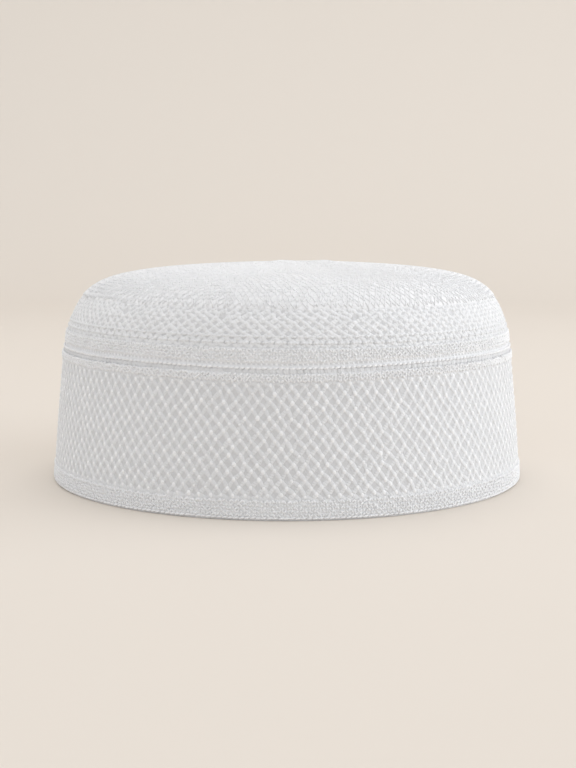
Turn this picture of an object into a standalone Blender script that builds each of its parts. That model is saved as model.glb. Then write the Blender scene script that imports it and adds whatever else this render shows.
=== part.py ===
"""A knitted prayer cap: a tapering side band and a low domed crown, both thin hollow walls.

Units are metres, +Z is up and the front faces -Y. The origin is the centre of the circle on which the rim
rests. Each wall is a section turned about +Z: the section's outer line runs through the rows of a short
table, and its inner line lies one wall thickness inside it.
"""

import math

import bmesh
import bpy
from mathutils import Vector

# Driving sizes
MM = 0.001
RIM_RADIUS = 92.6 * MM
SEAM_RADIUS = 88.4 * MM
SEAM_HEIGHT = 50.0 * MM
CROWN_RISE = 34.2 * MM
WALL = 2.0 * MM
SEAM_GAP = 0.3 * MM
SEAM_STEP = 0.5 * MM
EDGE_ROUNDING = 0.5 * MM
TURN_STEPS = 64
EDGE_ARC_STEPS = 2
MERGE_DISTANCE = 0.001 * MM
SMOOTH_UP_TO = math.radians(50)

# Band profile: share of the seam height, and share of the taper from rim radius to seam radius
BAND_ROWS = (
    # height_share, taper_share
    (0.00, 0.00),
    (0.24, 0.17),
    (0.50, 0.43),
    (0.76, 0.72),
    (1.00, 1.00),
)

# Crown profile: share of the crown's radius and of its rise, and the steps of the curve up to the next row
CROWN_ROWS = (
    # radius_share, rise_share, steps
    (1.000, 0.000, 2),
    (0.988, 0.234, 1),
    (0.962, 0.439, 1),
    (0.931, 0.585, 1),
    (0.890, 0.702, 1),
    (0.831, 0.795, 1),
    (0.751, 0.860, 1),
    (0.626, 0.914, 1),
    (0.455, 0.953, 1),
    (0.227, 0.983, 6),
    (0.000, 1.000, 0),
)

# The raised line of stitches that joins the crown to the band
BEAD_ABOVE_SEAM = 1.9 * MM
BEAD_HALF_WIDTH = 1.0 * MM
BEAD_RISE = 0.35 * MM

# The middle of the crown leans a little to the right, and the knitting closes there in a gathered pucker
CROWN_LEAN = 3.0 * MM
PUCKER_CENTRE = Vector((6.3 * MM, 0.0))
PUCKER_RADIUS = 8.6 * MM
PUCKER_WIDTH = 3.6 * MM
PUCKER_SIDE_RISE = 0.7 * MM
PUCKER_FRONT_RISE = 0.1 * MM
PUCKER_DIMPLE = 0.6 * MM
PUCKER_DIMPLE_SHARE = 0.6

YARN_COLOUR = (0.86, 0.86, 0.87, 1.0)
YARN_ROUGHNESS = 0.95


def clear_scene():
    """Removes every object of the file that is open."""
    for old in list(bpy.data.objects):
        bpy.data.objects.remove(old, do_unlink=True)


def smooth_line(points, step_counts):
    """A Catmull-Rom curve through the points, with the given number of steps from each point to the next."""
    ends = [2 * points[0] - points[1], *points, 2 * points[-1] - points[-2]]
    line = []
    for before, start, end, after, steps in zip(ends, ends[1:], ends[2:], ends[3:], step_counts):
        for step in range(steps):
            t = step / steps
            line.append(
                0.5
                * (
                    2 * start
                    + t * (end - before)
                    + t * t * (2 * before - 5 * start + 4 * end - after)
                    + t**3 * (3 * start - before - 3 * end + after)
                )
            )
    return [*line, points[-1]]


def inner_line(line, depth):
    """The line moved towards the hollow side by the depth, square to its own direction."""
    moved = []
    for index, point in enumerate(line):
        ahead = line[min(index + 1, len(line) - 1)]
        behind = line[max(index - 1, 0)]
        along = (ahead - behind).normalized()
        moved.append(point + depth * Vector((-along.y, along.x)))
    return moved


def rounded_corner(centre, start_angle, end_angle):
    """Points of a small arc that rounds off an edge of the wall."""
    points = []
    for step in range(EDGE_ARC_STEPS + 1):
        angle = math.radians(start_angle + (end_angle - start_angle) * step / EDGE_ARC_STEPS)
        points.append(centre + EDGE_ROUNDING * Vector((math.cos(angle), math.sin(angle))))
    return points


def band_section():
    """The closed section of the side band: outer wall, rounded top edge, inner wall, rounded rim."""
    outer = [
        Vector((RIM_RADIUS + (SEAM_RADIUS - RIM_RADIUS) * taper_share, SEAM_HEIGHT * height_share))
        for height_share, taper_share in BAND_ROWS
    ]
    inner = [point - Vector((WALL, 0.0)) for point in outer]
    inset = Vector((EDGE_ROUNDING, 0.0))
    lift = Vector((0.0, EDGE_ROUNDING))
    return [
        *rounded_corner(outer[0] - inset + lift, -90, 0),
        *outer[1:-1],
        *rounded_corner(outer[-1] - inset - lift, 0, 90),
        *rounded_corner(inner[-1] + inset - lift, 90, 180),
        *inner[-2:0:-1],
        *rounded_corner(inner[0] + inset + lift, 180, 270),
    ]


def bead_points(edge):
    """The raised line of stitches just above the crown's edge."""
    middle = SEAM_HEIGHT + BEAD_ABOVE_SEAM
    points = []
    for share in (-0.5, 0.0, 0.5, 1.0):
        rise = BEAD_RISE * (0.5 + 0.5 * math.cos(math.pi * share))
        points.append(Vector((edge.x + rise, middle + share * BEAD_HALF_WIDTH)))
    return points


def crown_section():
    """The crown's section, open at the axis: down the inner wall, round the foot and up the outer wall."""
    radius = SEAM_RADIUS - SEAM_STEP
    foot_height = SEAM_HEIGHT + SEAM_GAP
    top_height = SEAM_HEIGHT + CROWN_RISE
    rows = [
        Vector((radius * radius_share, foot_height + (top_height - foot_height) * rise_share))
        for radius_share, rise_share, _ in CROWN_ROWS
    ]
    outer = smooth_line(rows, [steps for _, _, steps in CROWN_ROWS])
    inner = inner_line(outer, WALL)
    edge = outer[0]
    foot = edge - Vector((WALL, 0.0))
    inset = Vector((EDGE_ROUNDING, 0.0))
    lift = Vector((0.0, EDGE_ROUNDING))
    inner_top = Vector((0.0, inner[-1].y))
    return [
        inner_top,
        *inner[-2:0:-1],
        *rounded_corner(foot + inset + lift, 180, 270),
        *rounded_corner(edge - inset + lift, -90, 0),
        *bead_points(edge),
        *outer[1:],
    ]


def lean_offset(point):
    """How far the crown leans to the right at this place: fully in the middle, not at all at the seam."""
    radius_share = math.hypot(point.x, point.y) / SEAM_RADIUS
    return CROWN_LEAN * (1 - radius_share**2)


def pucker_offset(point):
    """Height of the gathered middle at this place: a ring, higher at its two sides, round a shallow dimple."""
    away = Vector((point.x, point.y)) - PUCKER_CENTRE
    distance = away.length
    sideways = (away.x / distance) ** 2 if distance > MERGE_DISTANCE else 0.5
    rise = PUCKER_FRONT_RISE + (PUCKER_SIDE_RISE - PUCKER_FRONT_RISE) * sideways
    ring = math.exp(-(((distance - PUCKER_RADIUS) / PUCKER_WIDTH) ** 2))
    dimple = math.exp(-((distance / (PUCKER_DIMPLE_SHARE * PUCKER_RADIUS)) ** 2))
    return rise * ring - PUCKER_DIMPLE * dimple


def turned_mesh(name, section, closed):
    """Turns the section about +Z into one closed body."""
    shape = bmesh.new()
    corners = [shape.verts.new((point.x, 0.0, point.y)) for point in section]
    pairs = list(zip(corners, corners[1:]))
    if closed:
        pairs.append((corners[-1], corners[0]))
    edges = [shape.edges.new(pair) for pair in pairs]
    bmesh.ops.spin(
        shape,
        geom=corners + edges,
        cent=(0, 0, 0),
        axis=(0, 0, 1),
        angle=math.tau,
        steps=TURN_STEPS,
        use_merge=True,
    )
    bmesh.ops.remove_doubles(shape, verts=shape.verts, dist=MERGE_DISTANCE)
    bmesh.ops.recalc_face_normals(shape, faces=shape.faces)
    mesh = bpy.data.meshes.new(name)
    shape.to_mesh(mesh)
    shape.free()
    return mesh


def yarn_material(name):
    """Matt white yarn."""
    material = bpy.data.materials.new(name)
    material.use_nodes = True
    shader = material.node_tree.nodes["Principled BSDF"]
    shader.inputs["Base Color"].default_value = YARN_COLOUR
    shader.inputs["Roughness"].default_value = YARN_ROUGHNESS
    shader.inputs["Metallic"].default_value = 0.0
    return material


def add_piece(name, mesh, parent):
    """Makes the named object from its mesh, smooth shaded, under the cap's empty."""
    mesh.shade_smooth()
    mesh.set_sharp_from_angle(angle=SMOOTH_UP_TO)
    mesh.materials.append(yarn_material(name))
    piece = bpy.data.objects.new(name, mesh)
    piece.parent = parent
    bpy.context.scene.collection.objects.link(piece)
    return piece


def build_band(parent):
    """The side band, standing on its rim."""
    return add_piece("side_band", turned_mesh("side_band", band_section(), closed=True), parent)


def build_crown(parent):
    """The crown, seated on the band's top edge, leaning a little and with its middle gathered."""
    mesh = turned_mesh("crown", crown_section(), closed=False)
    for vertex in mesh.vertices:
        vertex.co.x += lean_offset(vertex.co)
        vertex.co.z += pucker_offset(vertex.co)
    return add_piece("crown", mesh, parent)


def main():
    clear_scene()
    cap = bpy.data.objects.new("cap", None)
    bpy.context.scene.collection.objects.link(cap)
    build_band(cap)
    build_crown(cap)


main()
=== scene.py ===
"""The looks of a knitted prayer cap: its cloth, yarn nets and stitched borders, in a pale studio.

Units are metres, +Z is up and the front faces -Y. A place on the cap is given by three numbers: the angle
round it from the front towards the right, the arc length up the outer face from the rim, and the depth
under that face. Each piece is worked out as arrays of such places and joined into one mesh.
"""

import math

import bpy
import numpy as np
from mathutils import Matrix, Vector


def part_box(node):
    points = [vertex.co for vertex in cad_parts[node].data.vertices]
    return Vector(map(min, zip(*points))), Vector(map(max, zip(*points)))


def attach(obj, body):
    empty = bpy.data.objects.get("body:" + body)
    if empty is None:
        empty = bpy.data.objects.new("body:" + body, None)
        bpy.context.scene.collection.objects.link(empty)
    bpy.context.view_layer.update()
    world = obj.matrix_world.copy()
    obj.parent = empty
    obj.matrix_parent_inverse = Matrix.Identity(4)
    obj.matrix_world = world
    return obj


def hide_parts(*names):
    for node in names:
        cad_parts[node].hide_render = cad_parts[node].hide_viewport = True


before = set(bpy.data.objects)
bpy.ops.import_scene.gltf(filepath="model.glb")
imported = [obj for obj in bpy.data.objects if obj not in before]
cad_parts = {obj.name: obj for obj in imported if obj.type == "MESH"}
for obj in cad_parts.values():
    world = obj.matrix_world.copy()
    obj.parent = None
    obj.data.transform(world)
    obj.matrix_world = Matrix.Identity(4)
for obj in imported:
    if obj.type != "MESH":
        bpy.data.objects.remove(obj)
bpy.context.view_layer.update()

# Sizes that the frame gives
MM = 0.001
band_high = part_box("side_band")[1]
RIM_RADIUS = band_high.x
SEAM_HEIGHT = band_high.z

# The outer face, with the same shares as the solids have
TAPER = 4.2 * MM
SEAM_RADIUS = RIM_RADIUS - TAPER
SEAM_STEP = 0.5 * MM
SEAM_GAP = 0.3 * MM
CROWN_RISE = 34.2 * MM
WALL = 2.0 * MM
BAND_ROWS = (
    # height_share, taper_share
    (0.00, 0.00),
    (0.24, 0.17),
    (0.50, 0.43),
    (0.76, 0.72),
    (1.00, 1.00),
)
CROWN_ROWS = (
    # radius_share, rise_share
    (1.000, 0.000),
    (0.988, 0.234),
    (0.962, 0.439),
    (0.931, 0.585),
    (0.890, 0.702),
    (0.831, 0.795),
    (0.751, 0.860),
    (0.626, 0.914),
    (0.455, 0.953),
    (0.227, 0.983),
    (0.000, 1.000),
)
CURVE_STEPS = 24

# The crown leans a little to the right, and its knitting drifts further and closes in a gathered pucker
CROWN_LEAN = 3.0 * MM
PUCKER_X = 6.3 * MM
KNIT_DRIFT = PUCKER_X - CROWN_LEAN
DRIFT_REACH = 30.0 * MM
PUCKER_RADIUS = 8.6 * MM
PUCKER_WIDTH = 3.6 * MM
PUCKER_SIDE_RISE = 0.7 * MM
PUCKER_FRONT_RISE = 0.1 * MM
PUCKER_DIMPLE = 0.6 * MM
PUCKER_DIMPLE_SHARE = 0.6

# The rows aren't level: those near the seam sag in front, and those higher up sag a little to the right
SAG = 1.0 * MM
SAG_REACH = math.radians(25)
SAG_ARCS = (40 * MM, 47 * MM, 55 * MM, 58.5 * MM)
SWAY = 0.95 * MM
SWAY_TURN = math.radians(25)
SWAY_ARCS = (55 * MM, 58.5 * MM, 80 * MM, 100 * MM)
RISE_AND_FALL = (0, 1, 1, 0)

# Depth of the close cloth's face under the outer face: less towards the middle of the crown
CLOSE_DEPTH_ARCS = (0 * MM, 70 * MM, 74 * MM, 90 * MM, 120 * MM)
CLOSE_DEPTHS = (0.66 * MM, 0.64 * MM, 0.46 * MM, 0.38 * MM, 0.32 * MM)

# Zones where the cloth lies deeper and has painted shade: a painted contact shadow at the foot under the hem,
# painted shade in the grooves on both sides of the seam's chain, and, under the band's net and the diamonds,
# painted shade for the look through the net into the cap's shaded inside.
DEEP_SHADED_ZONES = (
    # first_arc_mm, last_arc_mm, depth_mm, painted_shade
    (-1.0, 0.7, 1.30, 0.6),
    (7.0, 46.9, 0.80, 1.0),
    (48.9, 51.3, 0.82, 0.35),
    (52.3, 53.5, 1.02, 0.7),
    (58.0, 72.6, 0.80, 0.95),
)
ZONE_EDGE = 0.5 * MM

# How finely the cloth is divided: rows up its outer face, steps down its inner face, and corners round it
CLOTH_EDGE = (WALL - CLOSE_DEPTHS[0]) / 2
CLOTH_EDGE_STEPS = 5
BAND_CLOTH_ROWS = 66
BAND_CLOTH_SEGMENTS = 284
BAND_CLOTH_INNER_STEP = 2.0 * MM
CROWN_CLOTH_TOP_ROWS = 47
CROWN_CLOTH_SEGMENTS = 256
CROWN_CLOTH_INNER_STEP = 2.5 * MM

# The band's net: a first and a last row at its edges, and even rows between them
BAND_NET_ARCS = (7.0 * MM, 8.5 * MM, 45.5 * MM, 47.0 * MM)
BAND_NET_ROW_STEPS = 14
BAND_NET_COUNT = 143
BAND_NET_WANDER = 0.24 * MM

# The open diamonds on the side of the crown
DIAMOND_ROWS = (
    # arc_mm, count
    (58.3, 126),
    (60.1, 126),
    (61.8, 126),
    (63.4, 126),
    (65.1, 126),
    (66.8, 126),
    (68.5, 126),
    (70.1, 138),
    (71.7, 138),
    (73.2, 138),
)
DIAMOND_WANDER = 0.18 * MM

# The fine net over the top of the crown, up to the gathered stitches round its middle
TOP_NET_FIRST_ARC = 73.2 * MM
TOP_NET_ROW = 2.2 * MM
TOP_NET_PITCH = 2.0 * MM
TOP_NET_COUNT_STEP = 12
TOP_NET_WANDER = 0.30 * MM
CROWN_CENTRE_RADIUS = 3.2 * MM

# A net's strand: the share of its length by which it runs past its ends, how its tube is divided, how deep
# its middle lies and how much higher its ends lie, half its width at both, and its height as a share of that
STRAND_LOOK = {
    "overrun": 0.12,
    "rings": 4,
    "sides": 6,
    "depth": 0.93 * MM,
    "lift": -0.10 * MM,
    "width": 0.84 * MM,
    "node_width": 0.98 * MM,
    "flatness": 0.42,
    "unevenness": 0.26,
}
MAIN_STRAND_LOOK = STRAND_LOOK | {"depth": 0.90 * MM, "width": 0.88 * MM}
TOP_STRAND_LOOK = STRAND_LOOK | {
    "rings": 2,
    "sides": 4,
    "depth": 0.36 * MM,
    "lift": 0.0,
    "width": 0.47 * MM,
    "node_width": 0.28 * MM,
    "flatness": 0.62,
}

# Knots and stitches are grains of yarn with these half sizes. Slant is how far they run sideways per step up.
KNOT_LOOK = {
    "depth": 0.90 * MM,
    "slant": 0.20,
    "length": 0.98 * MM,
    "width": 0.88 * MM,
    "height": 0.54 * MM,
    "unevenness": 0.12,
    "sides": 6,
    "rings": 3,
}
DIAMOND_KNOT_LOOK = KNOT_LOOK | {"slant": 0.0, "length": 0.84 * MM, "width": 0.96 * MM}
STITCH_LOOK = {
    "spread": 0.48 * MM,
    "slant": 0.75,
    "wander": 0.28 * MM,
    "depth": 0.50 * MM,
    "length": 0.80 * MM,
    "width": 0.43 * MM,
    "height": 0.48 * MM,
    "unevenness": 0.18,
    "sides": 5,
    "rings": 2,
}

# Rows of V stitches, close together
STITCH_PITCH = 2.0 * MM
HEM_STITCH_ARCS = np.arange(2.0, 6.9, 1.1) * MM
BORDER_STITCH_ARCS = np.array([47.3, 48.1, 48.9]) * MM
EDGE_STITCH_ARCS = np.arange(54.1, 57.4, 1.05) * MM

# Rows of single stitches, with half sizes along the row, up the face and outwards
CORD_ROWS = (
    # arc_mm, count, along_mm, up_mm, out_mm, depth_mm
    (50.50, 240, 1.45, 1.24, 0.50, 0.80),
)
SEAM_ROWS = (
    # arc_mm, count, along_mm, up_mm, out_mm, depth_mm
    (51.60, 290, 0.96, 0.50, 0.44, 0.28),
)
EDGE_ROWS = (
    # arc_mm, count, along_mm, up_mm, out_mm, depth_mm
    (52.9, 314, 0.45, 0.60, 0.36, 1.00),
)
SIDE_ROWS = (
    # arc_mm, count, along_mm, up_mm, out_mm, depth_mm
    (57.8, 292, 1.00, 0.50, 0.42, 0.56),
    (60.1, 252, 1.00, 0.56, 0.40, 0.62),
    (62.2, 252, 1.00, 0.50, 0.40, 0.66),
)
RIM_ROWS = (
    # arc_mm, count, along_mm, up_mm, out_mm, depth_mm
    (1.0, 300, 1.10, 0.50, 0.46, 0.56),
)
GATHER_ROWS = (
    # from_middle_mm, count, along_mm, up_mm, out_mm, depth_mm
    (2.2, 12, 0.5, 1.5, 0.42, 0.36),
    (0.3, 5, 0.5, 0.5, 0.40, 0.36),
)
SINGLE_SLANT = 0.2
SINGLE_WANDER_ALONG = 0.05 * MM
SINGLE_WANDER_UP = 0.04 * MM
SINGLE_UNEVENNESS = 0.08
SINGLE_SIDES = 6
SINGLE_RINGS = 3

# The dark and the light white of each yarn. The net's, the side's and the seam's are copies of the one white
# cotton,
# darkened with painted shade: the nets' since light passes through them, the seam's for the shade of its
# fold.
STITCH_WHITES = ((0.80, 0.80, 0.805, 1), (0.90, 0.90, 0.905, 1))
NET_SHADED_WHITES = ((0.685, 0.688, 0.696, 1), (0.765, 0.768, 0.776, 1))
SIDE_SHADED_WHITES = ((0.722, 0.724, 0.73, 1), (0.822, 0.824, 0.83, 1))
SEAM_SHADED_WHITES = ((0.68, 0.68, 0.685, 1), (0.74, 0.74, 0.745, 1))
# The cloth's dark white is painted shade, for the deep zones; its light white is the cloth's own
CLOTH_SHADE_AND_WHITE = ((0.628, 0.629, 0.635, 1), (0.83, 0.83, 0.835, 1))

# The relief that is too fine for a mesh, and the patches of shade in the yarn
PLY_TURN_MM = 0.9
PLY_BUMP = 0.05 * MM
FIBRE_SCALE = 2600
FIBRE_DETAIL = 2
FIBRE_BUMP = 0.08 * MM
KNIT_SCALE = 620
KNIT_BUMP = 0.35 * MM
PATCH_SCALE = 90
PATCH_DETAIL = 3
PATCH_SHARE = 0.5

# The studio: its paper's section is a floor, a bend and a backdrop
FLOOR_FRONT = -2.2
FLOOR_BACK = 0.95
BACKDROP_BEND = 0.7
BACKDROP_BEND_STEPS = 16
BACKDROP_HEIGHT = 2.4
BACKDROP_HALF_WIDTH = 3.0
PAPER_COLOUR = (0.734, 0.676, 0.607, 1)

# Soft lights turned to the cap: a low key light on the right, and weaker ones on its other sides
CAP_MIDDLE = (0, 0, 0.04)
COOL = (0.91, 0.95, 1.0)
WARM = (1.0, 0.985, 0.975)
LIGHTS = (
    # name, place, width, height, watts, colour
    ("key_light", (1.6, 0.0, 0.36), 1.6, 0.8, 15.5, COOL),
    ("left_light", (-1.6, 0.2, 0.36), 1.6, 0.8, 4.1, COOL),
    ("top_light", (0.0, 0.2, 1.6), 1.0, 1.0, 6.2, WARM),
    ("back_light", (0.0, 0.9, 1.2), 1.2, 0.6, 1.0, WARM),
    ("front_light", (0.1, -1.8, 0.42), 1.8, 0.8, 4.2, COOL),
)

# Light from all round: its colour at the horizon and overhead
WORLD_LOW = (0.895, 0.945, 1.0, 1)
WORLD_HIGH = (1.0, 0.965, 0.945, 1)
WORLD_STRENGTH = 0.78

# The photographed view: the camera's place, its downward tilt, and its focal length in pixels of the photo
CAMERA_X = 0.4 * MM
CAMERA_DISTANCE = 543 * MM
CAMERA_HEIGHT = 103 * MM
CAMERA_TILT = math.radians(7.14)
IMAGE_HEIGHT = 768
FOCAL_PIXELS = 1370
SENSOR_MM = 36.0

# Guards against rounding and division by zero, and the start of the random draws
SMALLEST_LENGTH = 1e-12
SMALLEST_DISTANCE = 0.001 * MM
NODE_TOLERANCE = 1e-6
SEED = 11
chance = np.random.default_rng(SEED)


def smooth_line(rows):
    """A Catmull-Rom curve through the rows of (radius, height)."""
    rows = np.array(rows)
    ends = np.vstack([2 * rows[0] - rows[1], rows, 2 * rows[-1] - rows[-2]])
    before, start, end, after = (ends[shift : len(ends) - 3 + shift, None] for shift in range(4))
    t = np.linspace(0, 1, CURVE_STEPS, endpoint=False)[None, :, None]
    curve = 0.5 * (
        2 * start
        + t * (end - before)
        + t**2 * (2 * before - 5 * start + 4 * end - after)
        + t**3 * (3 * start - before - 3 * end + after)
    )
    return np.vstack([curve.reshape(-1, 2), rows[-1:]])


def outward_of(line):
    """The unit direction square to the line, away from the hollow."""
    along = np.gradient(line, axis=0)
    square = np.stack([along[:, 1], -along[:, 0]], axis=-1)
    return square / np.linalg.norm(square, axis=1, keepdims=True)


def face_profile():
    """The outer face from rim to middle: arc length, (radius, height) and outward direction at each step.

    After these come the arcs at the band's top and at the crown's foot.
    """
    band = smooth_line([(RIM_RADIUS - TAPER * taper, SEAM_HEIGHT * height) for height, taper in BAND_ROWS])
    foot = SEAM_HEIGHT + SEAM_GAP
    rise = SEAM_HEIGHT + CROWN_RISE - foot
    crown_radius = SEAM_RADIUS - SEAM_STEP
    crown = smooth_line([(crown_radius * radius, foot + rise * height) for radius, height in CROWN_ROWS])
    line = np.vstack([band, crown])
    outward = np.vstack([outward_of(band), outward_of(crown)])
    arc = np.concatenate([[0], np.cumsum(np.linalg.norm(np.diff(line, axis=0), axis=1))])
    return arc, line, outward, arc[len(band) - 1], arc[len(band)]


FACE_ARC, FACE_LINE, FACE_OUTWARD, BAND_TOP_ARC, CROWN_FOOT_ARC = face_profile()
MIDDLE_ARC = FACE_ARC[-1]


def face_radius(arc):
    """Radius of the outer face at this arc length."""
    return np.interp(arc, FACE_ARC, FACE_LINE[:, 0])


def gathered(x, y):
    """Height that the pucker adds here: a ring, higher at its two sides, round a shallow dimple."""
    distance = np.hypot(x - PUCKER_X, y)
    sideways = (x - PUCKER_X) ** 2 / np.maximum(distance, SMALLEST_DISTANCE) ** 2
    rise = PUCKER_FRONT_RISE + (PUCKER_SIDE_RISE - PUCKER_FRONT_RISE) * sideways
    ring = np.exp(-(((distance - PUCKER_RADIUS) / PUCKER_WIDTH) ** 2))
    dimple = np.exp(-((distance / (PUCKER_DIMPLE_SHARE * PUCKER_RADIUS)) ** 2))
    return rise * ring - PUCKER_DIMPLE * dimple


def turned(angle, arc, radius, height):
    """Points at this angle, radius and height. Those on the crown have its lean and its pucker."""
    share = np.clip(radius / SEAM_RADIUS, 0, 1)
    shift = CROWN_LEAN * (1 - share**2) + KNIT_DRIFT * np.exp(-((radius / DRIFT_REACH) ** 2))
    on_crown = arc >= CROWN_FOOT_ARC
    x = radius * np.sin(angle) + np.where(on_crown, shift, 0)
    y = -radius * np.cos(angle)
    return np.stack([x, y, height + np.where(on_crown, gathered(x, y), 0)], axis=-1)


def swayed(angle, arc):
    """The arc at which a row really lies at this angle."""
    from_front = (angle + math.pi) % math.tau - math.pi
    away = 1 - np.exp(-((from_front / SAG_REACH) ** 2))
    sag = SAG * np.interp(arc, SAG_ARCS, RISE_AND_FALL) * away
    sway = SWAY * np.interp(arc, SWAY_ARCS, RISE_AND_FALL)
    return arc + sag + sway * (0.5 - 0.5 * np.cos(2 * (angle - SWAY_TURN)))


def on_cap(angle, arc, depth):
    """Points on the cap."""
    angle, arc, depth = np.broadcast_arrays(angle, arc, depth)
    arc = swayed(angle, arc)
    radius = face_radius(arc) - depth * np.interp(arc, FACE_ARC, FACE_OUTWARD[:, 0])
    face_height = np.interp(arc, FACE_ARC, FACE_LINE[:, 1])
    height = face_height - depth * np.interp(arc, FACE_ARC, FACE_OUTWARD[:, 1])
    return turned(angle, arc, np.maximum(radius, 0), height)


def outward_at(angle, arc):
    """The outward direction on the cap."""
    angle, arc = np.broadcast_arrays(angle, arc)
    arc = swayed(angle, arc)
    sideways = np.interp(arc, FACE_ARC, FACE_OUTWARD[:, 0])
    upward = np.interp(arc, FACE_ARC, FACE_OUTWARD[:, 1])
    return np.stack([sideways * np.sin(angle), -sideways * np.cos(angle), upward], axis=-1)


def unit(vectors):
    """The vectors at length one."""
    return vectors / np.maximum(np.linalg.norm(vectors, axis=-1, keepdims=True), SMALLEST_LENGTH)


def uneven(look, shape):
    """Random factors near one, as uneven as the look says."""
    return chance.uniform(1 - look["unevenness"], 1 + look["unevenness"], shape)


def mesh_piece(name, corners, faces, lay, tone_and_shade, material):
    """An object from arrays, smooth shaded, that rides on the cap."""
    mesh = bpy.data.meshes.new(name)
    loops = np.concatenate([numbers.ravel() for numbers in faces])
    sizes = np.concatenate([np.full(len(numbers), numbers.shape[1]) for numbers in faces])
    mesh.vertices.add(len(corners))
    mesh.vertices.foreach_set("co", corners.astype(np.float32).ravel())
    mesh.loops.add(len(loops))
    mesh.loops.foreach_set("vertex_index", loops.astype(np.int32))
    mesh.polygons.add(len(sizes))
    mesh.polygons.foreach_set("loop_start", (np.cumsum(sizes) - sizes).astype(np.int32))
    mesh.update(calc_edges=True)
    mesh.shade_smooth()
    lay_data = mesh.attributes.new("lay", "FLOAT_VECTOR", "POINT").data
    lay_data.foreach_set("vector", lay.astype(np.float32).ravel())
    # On yarn the tone differs at random; on the cloth it is the whiteness, lower where shade is painted
    tone_data = mesh.attributes.new("tone_and_shade", "FLOAT", "POINT").data
    tone_data.foreach_set("value", tone_and_shade.astype(np.float32))
    mesh.materials.append(material)
    piece = bpy.data.objects.new(name, mesh)
    bpy.context.scene.collection.objects.link(piece)
    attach(piece, "root")
    return piece


class Yarn:
    """Gathers tubes and grains of yarn, and joins them into one mesh.

    Each corner has a lay, which is its place along the yarn in millimetres and round it, and a tone.
    """

    def __init__(self):
        self.corners = []
        self.faces = []
        self.lay = []
        self.tone_and_shade = []
        self.total = 0

    def add(self, corners, faces, lay, tone_and_shade):
        """Adds corners, faces as arrays of corner numbers, and each corner's lay and tone."""
        self.corners.append(corners)
        self.faces += [numbers + self.total for numbers in faces]
        self.lay.append(lay)
        self.tone_and_shade.append(tone_and_shade)
        self.total += len(corners)

    def tubes(self, centres, outward, width, height, sides):
        """Closed tubes through centres[tube, ring], with these half widths and half heights."""
        along = unit(np.gradient(centres, axis=1))
        across = unit(np.cross(along, outward))
        up = np.cross(across, along)
        turn = np.arange(sides) * math.tau / sides
        ring = (
            width[..., None, None] * across[:, :, None] * np.cos(turn)[:, None]
            + height[..., None, None] * up[:, :, None] * np.sin(turn)[:, None]
        )
        corners = (centres[:, :, None] + ring).reshape(-1, 3)
        tubes, rings = centres.shape[:2]
        start = (np.arange(tubes)[:, None, None] * rings + np.arange(rings - 1)[None, :, None]) * sides
        here = start + np.arange(sides)
        after = start + (np.arange(sides) + 1) % sides
        walls = np.stack([here, here + sides, after + sides, after], axis=-1).reshape(-1, 4)
        first_cap = (np.arange(tubes) * rings * sides)[:, None] + np.arange(sides)
        last_cap = (first_cap + (rings - 1) * sides)[:, ::-1]
        steps = np.linalg.norm(np.diff(centres, axis=1), axis=-1)
        reach = np.pad(np.cumsum(steps, axis=1), ((0, 0), (1, 0)))
        reach = reach + chance.uniform(0, 1, (tubes, 1)) * rings * MM
        lay = np.broadcast_arrays(reach[:, :, None] / MM, np.cos(turn), np.sin(turn))
        tone_and_shade = np.repeat(chance.uniform(0, 1, tubes), rings * sides)
        self.add(corners, [walls, first_cap, last_cap], np.stack(lay, axis=-1).reshape(-1, 3), tone_and_shade)

    def grains(self, centres, long_way, outward, length, width, height, sides, rings):
        """Closed ellipsoids with these half sizes: length along long_way, height outwards."""
        long_way = unit(long_way)
        wide_way = unit(np.cross(long_way, outward))
        tall_way = np.cross(wide_way, long_way)
        turn = np.arange(sides) * math.tau / sides
        tilt = (np.arange(rings) + 1) * math.pi / (rings + 1)
        flat = [
            np.broadcast_to(np.cos(tilt)[:, None], (rings, sides)),
            np.sin(tilt)[:, None] * np.cos(turn),
            np.sin(tilt)[:, None] * np.sin(turn),
        ]
        shape = np.vstack([np.stack(flat, axis=-1).reshape(-1, 3), [(1, 0, 0), (-1, 0, 0)]])
        half_sizes = [long_way * length[:, None], wide_way * width[:, None], tall_way * height[:, None]]
        corners = (centres[:, None] + shape @ np.stack(half_sizes, axis=1)).reshape(-1, 3)
        each = len(shape)
        k = np.arange(sides)
        after = (k + 1) % sides
        base = (np.arange(rings - 1) * sides)[:, None]
        up = base + sides
        walls = np.stack([base + k, base + after, up + after, up + k], axis=-1).reshape(-1, 4)
        first_tip = np.stack([np.full(sides, each - 2), after, k], axis=-1)
        low = (rings - 1) * sides
        last_tip = np.stack([np.full(sides, each - 1), low + k, low + after], axis=-1)
        starts = (np.arange(len(centres)) * each)[:, None, None]
        faces = [(starts + part).reshape(-1, part.shape[1]) for part in (walls, first_tip, last_tip)]
        lay = np.stack([shape[:, 0] * length[0] / MM, shape[:, 1], shape[:, 2]], axis=-1)
        tone_and_shade = np.repeat(chance.uniform(0, 1, len(centres)), each)
        self.add(corners, faces, np.tile(lay, (len(centres), 1)), tone_and_shade)

    def swollen_grains(self, centres, long_way, outward, look):
        """Grains as the look says, each a little bigger or smaller."""
        swell = uneven(look, len(centres))
        sizes = [look[size] * swell for size in ("length", "width", "height")]
        self.grains(centres, long_way, outward, *sizes, look["sides"], look["rings"])

    def piece(self, name, material):
        """The joined object."""
        corners = np.vstack(self.corners)
        return mesh_piece(name, corners, self.faces, np.vstack(self.lay), np.concatenate(self.tone_and_shade), material)


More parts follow.
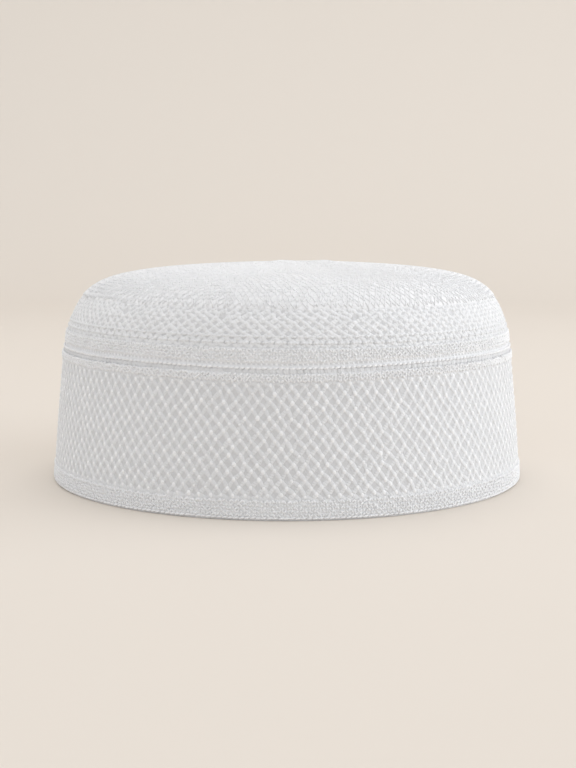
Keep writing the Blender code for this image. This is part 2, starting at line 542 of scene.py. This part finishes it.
class Net:
    """A knitted net: rows of nodes round the cap, each row set half a mesh from the one below."""

    def __init__(self, arcs, counts, wander):
        self.arcs = []
        self.angles = []
        self.counts = counts
        self.starts = []
        for row, (arc, count) in enumerate(zip(arcs, counts)):
            start = 0.5 * (row % 2) * math.tau / count
            angle = start + np.arange(count) * math.tau / count
            radius = max(float(face_radius(arc)), MM)
            self.starts.append(start)
            self.angles.append(angle + chance.normal(0, wander, count) / radius)
            self.arcs.append(arc + chance.normal(0, wander, count))

    def edges(self, row, rightward):
        """Start and end (angle, arc) of each strand from this row up to the next, leaning right or left."""
        count = self.counts[row + 1]
        pitch = math.tau / count
        here = self.starts[row] + np.arange(self.counts[row]) * math.tau / self.counts[row]
        place = np.floor((here - self.starts[row + 1]) / pitch + NODE_TOLERANCE).astype(int) + rightward
        node = place % count
        whole_turns = (place - node) // count * math.tau
        return (
            (self.angles[row], self.arcs[row]),
            (self.angles[row + 1][node] + whole_turns, self.arcs[row + 1][node]),
        )

    def strands(self, yarn, rightward, look):
        """Adds all the strands of one lean."""
        for row in range(len(self.arcs) - 1):
            (angle_from, arc_from), (angle_to, arc_to) = self.edges(row, rightward)
            t = np.linspace(-look["overrun"], 1 + look["overrun"], look["rings"])
            angle = angle_from[:, None] + (angle_to - angle_from)[:, None] * t
            arc = np.minimum(arc_from[:, None] + (arc_to - arc_from)[:, None] * t, MIDDLE_ARC)
            near_node = np.clip(2 * t - 1, -1, 1) ** 2
            depth = look["depth"] - look["lift"] * near_node
            swell = uneven(look, angle.shape)
            width = (look["width"] + (look["node_width"] - look["width"]) * near_node) * swell
            centres = on_cap(angle, arc, depth)
            yarn.tubes(centres, outward_at(angle, arc), width, width * look["flatness"], look["sides"])

    def knots(self, yarn, look):
        """Adds a knot at each node, apart from those of the first and last rows."""
        for angle, arc in zip(self.angles[1:-1], self.arcs[1:-1]):
            radius = max(float(face_radius(arc.mean())), MM)
            ahead = on_cap(angle - look["slant"] * MM / radius, arc + MM, 0)
            long_way = ahead - on_cap(angle, arc, 0)
            centres = on_cap(angle, arc, look["depth"])
            yarn.swollen_grains(centres, long_way, outward_at(angle, arc), look)


def stitch_rows(yarn, arcs):
    """Adds rows of V stitches: two grains of yarn that lean together at their lower ends."""
    look = STITCH_LOOK
    for row, arc in enumerate(arcs):
        radius = float(face_radius(arc))
        count = round(math.tau * radius / STITCH_PITCH)
        centre = (np.arange(count) + 0.5 * (row % 2)) * math.tau / count
        for side in (-1, 1):
            shift = look["wander"] * chance.uniform(-1, 1, (2, count))
            angle = centre + (side * look["spread"] + shift[0]) / radius
            height = arc + shift[1]
            here = on_cap(angle, height, look["depth"])
            ahead = on_cap(angle + side * look["slant"] * MM / radius, height + MM, look["depth"])
            yarn.swollen_grains(here, ahead - here, outward_at(angle, height), look)


def single_rows(yarn, rows):
    """Adds rows of single stitches from a table."""
    for number, (arc_mm, count, along_mm, up_mm, out_mm, depth_mm) in enumerate(rows):
        arc = arc_mm * MM
        radius = float(face_radius(arc))
        angle = (np.arange(count) + 0.5 * (number % 2)) * math.tau / count
        angle = angle + chance.normal(0, SINGLE_WANDER_ALONG, count) / radius
        height = arc + chance.normal(0, SINGLE_WANDER_UP, count)
        here = on_cap(angle, height, depth_mm * MM)
        ahead = on_cap(angle + MM / radius, height + SINGLE_SLANT * MM, depth_mm * MM)
        swell = chance.uniform(1 - SINGLE_UNEVENNESS, 1 + SINGLE_UNEVENNESS, count)
        sizes = [swell * half * MM for half in (along_mm, up_mm, out_mm)]
        outward = outward_at(angle, height)
        yarn.grains(here, ahead - here, outward, *sizes, SINGLE_SIDES, SINGLE_RINGS)


def cloth_at(arcs):
    """Depth of the cloth's face at these arcs, and its whiteness, which is lower where shade is painted."""
    depth = np.interp(arcs, CLOSE_DEPTH_ARCS, CLOSE_DEPTHS)
    shade = np.zeros_like(depth)
    for first_mm, last_mm, zone_depth_mm, zone_shade in DEEP_SHADED_ZONES:
        inside = np.minimum((arcs - first_mm * MM) / ZONE_EDGE, (last_mm * MM - arcs) / ZONE_EDGE)
        share = np.clip(inside, 0, 1)
        depth = depth + (zone_depth_mm * MM - depth) * share
        shade = np.maximum(shade, zone_shade * share)
    return depth, 1 - shade


def wall_rows(outer_arcs, inner_step):
    """Rows of (arc, depth, whiteness) along a wall's outer face, and along its inner face back again."""
    # The outer rows' whiteness carries the painted shade; the inner face is all white
    outer = np.stack([outer_arcs, *cloth_at(outer_arcs)], axis=-1)
    first, last = outer_arcs[[0, -1]]
    inner_arcs = np.linspace(last, first, round((last - first) / inner_step) + 1)
    inner = np.stack([inner_arcs, np.full(len(inner_arcs), WALL), np.ones(len(inner_arcs))], axis=-1)
    return outer, inner


def rounded_edge(start, end):
    """Rows of a half circle from one edge row of the wall to the other, on the open side."""
    middle = (start + end) / 2
    half = (end - start)[:2] / 2
    bulge = np.array([half[1], -half[0]])
    rows = []
    for turn in np.linspace(0, math.pi, CLOTH_EDGE_STEPS + 2)[1:-1]:
        place = middle[:2] - half * math.cos(turn) + bulge * math.sin(turn)
        # The edge takes the darker painted shade of its two rows
        rows.append([*place, min(start[2], end[2])])
    return np.array(rows)


def turned_cloth(name, rows, segments, closed, material):
    """A closed wall from rows of (arc, depth, whiteness), turned round the axis.

    A wall that isn't closed starts and ends on the axis, where its last rings close in a fan.
    """
    angle = np.arange(segments) * math.tau / segments
    rings = rows if closed else rows[1:-1]
    corners = on_cap(angle[None], rings[:, :1], rings[:, 1:2]).reshape(-1, 3)
    # Each ring's whiteness, lower where shade is painted, goes into its tone
    tone_and_shade = np.repeat(rings[:, 2], segments)
    k = np.arange(segments)
    after = (k + 1) % segments
    steps = np.arange(len(rings) if closed else len(rings) - 1)
    here = (steps * segments)[:, None]
    up = ((steps + 1) % len(rings) * segments)[:, None]
    faces = [np.stack([here + k, here + after, up + after, up + k], axis=-1).reshape(-1, 4)]
    if not closed:
        total = len(corners)
        corners = np.vstack([corners, on_cap(np.zeros(2), rows[[0, -1], 0], rows[[0, -1], 1])])
        tone_and_shade = np.concatenate([tone_and_shade, rows[[0, -1], 2]])
        last = (len(rings) - 1) * segments
        faces.append(np.stack([np.full(segments, total), after, k], axis=-1))
        faces.append(np.stack([np.full(segments, total + 1), last + k, last + after], axis=-1))
    return mesh_piece(name, corners, faces, np.zeros((len(corners), 3)), tone_and_shade, material)


def build_band_cloth(material):
    """The band's cloth: a closed wall that stands on its rounded rim."""
    rim_depth = cloth_at(np.zeros(1))[0][0]
    arcs = np.linspace((WALL - rim_depth) / 2, BAND_TOP_ARC - CLOTH_EDGE, BAND_CLOTH_ROWS)
    outer, inner = wall_rows(arcs, BAND_CLOTH_INNER_STEP)
    rows = np.vstack([outer, rounded_edge(outer[-1], inner[0]), inner, rounded_edge(inner[-1], outer[0])])
    piece = turned_cloth("band_cloth", rows, BAND_CLOTH_SEGMENTS, True, material)
    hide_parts("side_band")


def build_crown_cloth(material):
    """The crown's cloth: a closed wall, from its inner face's middle round its foot to its outer face's."""
    side = np.arange(CROWN_FOOT_ARC + CLOTH_EDGE, TOP_NET_FIRST_ARC, ZONE_EDGE)
    top = np.linspace(TOP_NET_FIRST_ARC, MIDDLE_ARC, CROWN_CLOTH_TOP_ROWS)
    outer, inner = wall_rows(np.concatenate([side, top]), CROWN_CLOTH_INNER_STEP)
    rows = np.vstack([inner, rounded_edge(inner[-1], outer[0]), outer])
    piece = turned_cloth("crown_cloth", rows, CROWN_CLOTH_SEGMENTS, False, material)
    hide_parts("crown")


def build_band_net(material, knot_material):
    """The band's open net: strands that lean both ways, and a knot where they cross."""
    first, low, high, last = BAND_NET_ARCS
    arcs = np.concatenate([[first], np.linspace(low, high, BAND_NET_ROW_STEPS + 1), [last]])
    net = Net(arcs, [BAND_NET_COUNT] * len(arcs), BAND_NET_WANDER)
    left = Yarn()
    net.strands(left, 0, MAIN_STRAND_LOOK)
    left.piece("band_net_left", material)
    right = Yarn()
    net.strands(right, 1, STRAND_LOOK)
    right.piece("band_net_right", material)
    knots = Yarn()
    net.knots(knots, KNOT_LOOK)
    knots.piece("band_knots", knot_material)


def build_crown_diamonds(material):
    """The open diamonds on the side of the crown."""
    arcs = np.array([arc_mm for arc_mm, _ in DIAMOND_ROWS]) * MM
    net = Net(arcs, [count for _, count in DIAMOND_ROWS], DIAMOND_WANDER)
    side = Yarn()
    for rightward in (0, 1):
        net.strands(side, rightward, STRAND_LOOK)
    net.knots(side, DIAMOND_KNOT_LOOK)
    side.piece("crown_side_net", material)


def top_net_counts(arcs):
    """How many nodes go round at each row: fewer towards the middle, in steps."""
    wanted = math.tau * face_radius(arcs) / TOP_NET_PITCH / TOP_NET_COUNT_STEP
    return [int(count) for count in np.maximum(np.round(wanted), 1) * TOP_NET_COUNT_STEP]


def build_crown_top(material):
    """The fine net over the top of the crown, and the gathered stitches round its middle."""
    arcs = np.arange(TOP_NET_FIRST_ARC, MIDDLE_ARC, TOP_NET_ROW)
    arcs = arcs[face_radius(arcs) > CROWN_CENTRE_RADIUS]
    net = Net(arcs, top_net_counts(arcs), TOP_NET_WANDER)
    top = Yarn()
    for rightward in (0, 1):
        net.strands(top, rightward, TOP_STRAND_LOOK)
    single_rows(top, [(MIDDLE_ARC / MM - from_middle_mm, *rest) for from_middle_mm, *rest in GATHER_ROWS])
    top.piece("crown_top_net", material)


def build_stitches(stitch_yarn, shaded_seam_yarn, shaded_side_yarn):
    """The stitches of hem, borders and seam, and the rows of stitches on the crown's side."""
    tables = (
        # name, single_rows, stitch_arcs, material
        ("hem_stitches", RIM_ROWS, HEM_STITCH_ARCS, stitch_yarn),
        ("border_stitches", (), BORDER_STITCH_ARCS, stitch_yarn),
        ("crown_edge_stitches", EDGE_ROWS, EDGE_STITCH_ARCS, stitch_yarn),
        ("seam_cord", CORD_ROWS, (), shaded_seam_yarn),
        ("seam_chain", SEAM_ROWS, (), stitch_yarn),
        ("crown_side_rows", SIDE_ROWS, (), shaded_side_yarn),
    )
    for name, rows, arcs, material in tables:
        stitches = Yarn()
        single_rows(stitches, rows)
        stitch_rows(stitches, arcs)
        stitches.piece(name, material)


def new_material(name):
    """A material with a Principled shader, and its node tree and shader."""
    material = bpy.data.materials.new(name)
    material.use_nodes = True
    tree = material.node_tree
    return material, tree, tree.nodes["Principled BSDF"]


def math_node(tree, operation, *values):
    """A Math node. Its inputs are numbers or sockets."""
    made = tree.nodes.new("ShaderNodeMath")
    made.operation = operation
    for socket, value in zip(made.inputs, values):
        if isinstance(value, (int, float)):
            socket.default_value = value
        else:
            tree.links.new(value, socket)
    return made.outputs[0]


def noise_node(tree, scale, detail):
    """A Noise texture in metres of the object's space."""
    place = tree.nodes.new("ShaderNodeTexCoord")
    made = tree.nodes.new("ShaderNodeTexNoise")
    made.inputs["Scale"].default_value = scale
    made.inputs["Detail"].default_value = detail
    tree.links.new(place.outputs["Object"], made.inputs["Vector"])
    return made.outputs["Fac"]


def attribute_node(tree, name):
    """A node that reads an attribute of the corners."""
    made = tree.nodes.new("ShaderNodeAttribute")
    made.attribute_name = name
    return made


def colour_between(tree, factor, colours):
    """A colour between two, by this factor."""
    made = tree.nodes.new("ShaderNodeMix")
    made.data_type = "RGBA"
    tree.links.new(factor, made.inputs["Factor"])
    made.inputs["A"].default_value = colours[0]
    made.inputs["B"].default_value = colours[1]
    return made.outputs["Result"]


def bump_node(tree, height, distance, before=None):
    """A Bump node of this depth."""
    made = tree.nodes.new("ShaderNodeBump")
    made.inputs["Distance"].default_value = distance
    made.inputs["Strength"].default_value = 1.0
    tree.links.new(height, made.inputs["Height"])
    if before is not None:
        tree.links.new(before, made.inputs["Normal"])
    return made.outputs["Normal"]


def cotton(tree, shader, relief):
    """Sets what all the cotton has in common, with loose fibres over its relief."""
    shader.inputs["Roughness"].default_value = 0.92
    shader.inputs["Metallic"].default_value = 0.0
    shader.inputs["Specular IOR Level"].default_value = 0.25
    shader.inputs["Sheen Weight"].default_value = 0.15
    shader.inputs["Sheen Roughness"].default_value = 0.5
    fibres = bump_node(tree, noise_node(tree, FIBRE_SCALE, FIBRE_DETAIL), FIBRE_BUMP, relief)
    tree.links.new(fibres, shader.inputs["Normal"])


def yarn_material(name, whites):
    """White cotton yarn between these two whites, with twisted plies."""
    material, tree, shader = new_material(name)
    parts = tree.nodes.new("ShaderNodeSeparateXYZ")
    tree.links.new(attribute_node(tree, "lay").outputs["Vector"], parts.inputs["Vector"])
    turn = math_node(tree, "MULTIPLY", parts.outputs["X"], math.tau / PLY_TURN_MM)
    first = math_node(tree, "MULTIPLY", math_node(tree, "SINE", turn), parts.outputs["Y"])
    second = math_node(tree, "MULTIPLY", math_node(tree, "COSINE", turn), parts.outputs["Z"])
    cotton(tree, shader, bump_node(tree, math_node(tree, "ADD", first, second), PLY_BUMP))
    tone_and_shade = attribute_node(tree, "tone_and_shade").outputs["Fac"]
    each = math_node(tree, "MULTIPLY", tone_and_shade, 1 - PATCH_SHARE)
    patches = math_node(tree, "MULTIPLY", noise_node(tree, PATCH_SCALE, PATCH_DETAIL), PATCH_SHARE)
    colour = colour_between(tree, math_node(tree, "ADD", each, patches), whites)
    tree.links.new(colour, shader.inputs["Base Color"])
    return material


def cloth_material():
    """The close white cotton under the nets and inside the cap: a fine knit, greyer with painted shade in the
    deep zones.
    """
    material, tree, shader = new_material("white_yarn_ground")
    place = tree.nodes.new("ShaderNodeTexCoord")
    cells = tree.nodes.new("ShaderNodeTexVoronoi")
    cells.inputs["Scale"].default_value = KNIT_SCALE
    tree.links.new(place.outputs["Object"], cells.inputs["Vector"])
    cotton(tree, shader, bump_node(tree, cells.outputs["Distance"], KNIT_BUMP))
    tone_and_shade = attribute_node(tree, "tone_and_shade").outputs["Fac"]
    # The cloth's colour runs from its painted shade to its own white
    tree.links.new(colour_between(tree, tone_and_shade, CLOTH_SHADE_AND_WHITE), shader.inputs["Base Color"])
    return material


def build_studio():
    """A pale beige floor that curves up into a backdrop, as one sheet."""
    line = [(FLOOR_FRONT, 0.0), (FLOOR_BACK, 0.0)]
    for step in range(1, BACKDROP_BEND_STEPS + 1):
        turn = step / BACKDROP_BEND_STEPS * math.pi / 2
        line.append((FLOOR_BACK + BACKDROP_BEND * math.sin(turn), BACKDROP_BEND * (1 - math.cos(turn))))
    line.append((FLOOR_BACK + BACKDROP_BEND, BACKDROP_HEIGHT))
    corners = [(side * BACKDROP_HALF_WIDTH, y, z) for y, z in line for side in (-1, 1)]
    faces = [(2 * i, 2 * i + 1, 2 * i + 3, 2 * i + 2) for i in range(len(line) - 1)]
    mesh = bpy.data.meshes.new("studio_sweep")
    mesh.from_pydata(corners, [], faces)
    mesh.shade_smooth()
    material, _, shader = new_material("studio_paper")
    shader.inputs["Base Color"].default_value = PAPER_COLOUR
    shader.inputs["Roughness"].default_value = 0.95
    mesh.materials.append(material)
    sweep = bpy.data.objects.new("studio_sweep", mesh)
    bpy.context.scene.collection.objects.link(sweep)


def build_world():
    """Even light from all round, cooler near the horizon than overhead."""
    world = bpy.data.worlds.new("studio_world")
    world.use_nodes = True
    tree = world.node_tree
    place = tree.nodes.new("ShaderNodeTexCoord")
    parts = tree.nodes.new("ShaderNodeSeparateXYZ")
    tree.links.new(place.outputs["Generated"], parts.inputs["Vector"])
    sky = colour_between(tree, parts.outputs["Z"], (WORLD_LOW, WORLD_HIGH))
    tree.links.new(sky, tree.nodes["Background"].inputs["Color"])
    tree.nodes["Background"].inputs["Strength"].default_value = WORLD_STRENGTH
    bpy.context.scene.world = world


def build_lights():
    """The soft lights of the table, as rectangles turned to the cap."""
    for name, place, width, height, watts, colour in LIGHTS:
        lamp = bpy.data.lights.new(name, "AREA")
        lamp.shape = "RECTANGLE"
        lamp.size = width
        lamp.size_y = height
        lamp.energy = watts
        lamp.color = colour
        light = bpy.data.objects.new(name, lamp)
        light.location = place
        light.rotation_euler = (Vector(CAP_MIDDLE) - Vector(place)).to_track_quat("-Z", "Y").to_euler()
        bpy.context.scene.collection.objects.link(light)


def build_camera():
    """The camera at the photographed view."""
    lens = bpy.data.cameras.new("camera")
    lens.sensor_width = SENSOR_MM
    lens.lens = FOCAL_PIXELS * SENSOR_MM / IMAGE_HEIGHT
    lens.clip_start = 0.01
    camera = bpy.data.objects.new("camera", lens)
    camera.location = (CAMERA_X, -CAMERA_DISTANCE, CAMERA_HEIGHT)
    camera.rotation_euler = (math.pi / 2 - CAMERA_TILT, 0, 0)
    bpy.context.scene.collection.objects.link(camera)
    bpy.context.scene.camera = camera


def main():
    """Builds the studio and the dressed cap."""
    bpy.context.scene.view_settings.view_transform = "Standard"
    build_camera()
    build_studio()
    build_world()
    build_lights()
    stitch_yarn = yarn_material("white_yarn_twisted", STITCH_WHITES)
    # The net's, the side's and the seam's yarns are copies of the white yarn darkened with painted shade
    shaded_net_yarn = yarn_material("white_yarn_net_shaded", NET_SHADED_WHITES)
    shaded_side_yarn = yarn_material("white_yarn_side_shaded", SIDE_SHADED_WHITES)
    shaded_seam_yarn = yarn_material("white_yarn_shaded", SEAM_SHADED_WHITES)
    cloth = cloth_material()
    build_band_cloth(cloth)
    build_crown_cloth(cloth)
    build_band_net(shaded_net_yarn, stitch_yarn)
    build_crown_diamonds(shaded_side_yarn)
    build_crown_top(stitch_yarn)
    build_stitches(stitch_yarn, shaded_seam_yarn, shaded_side_yarn)


main()
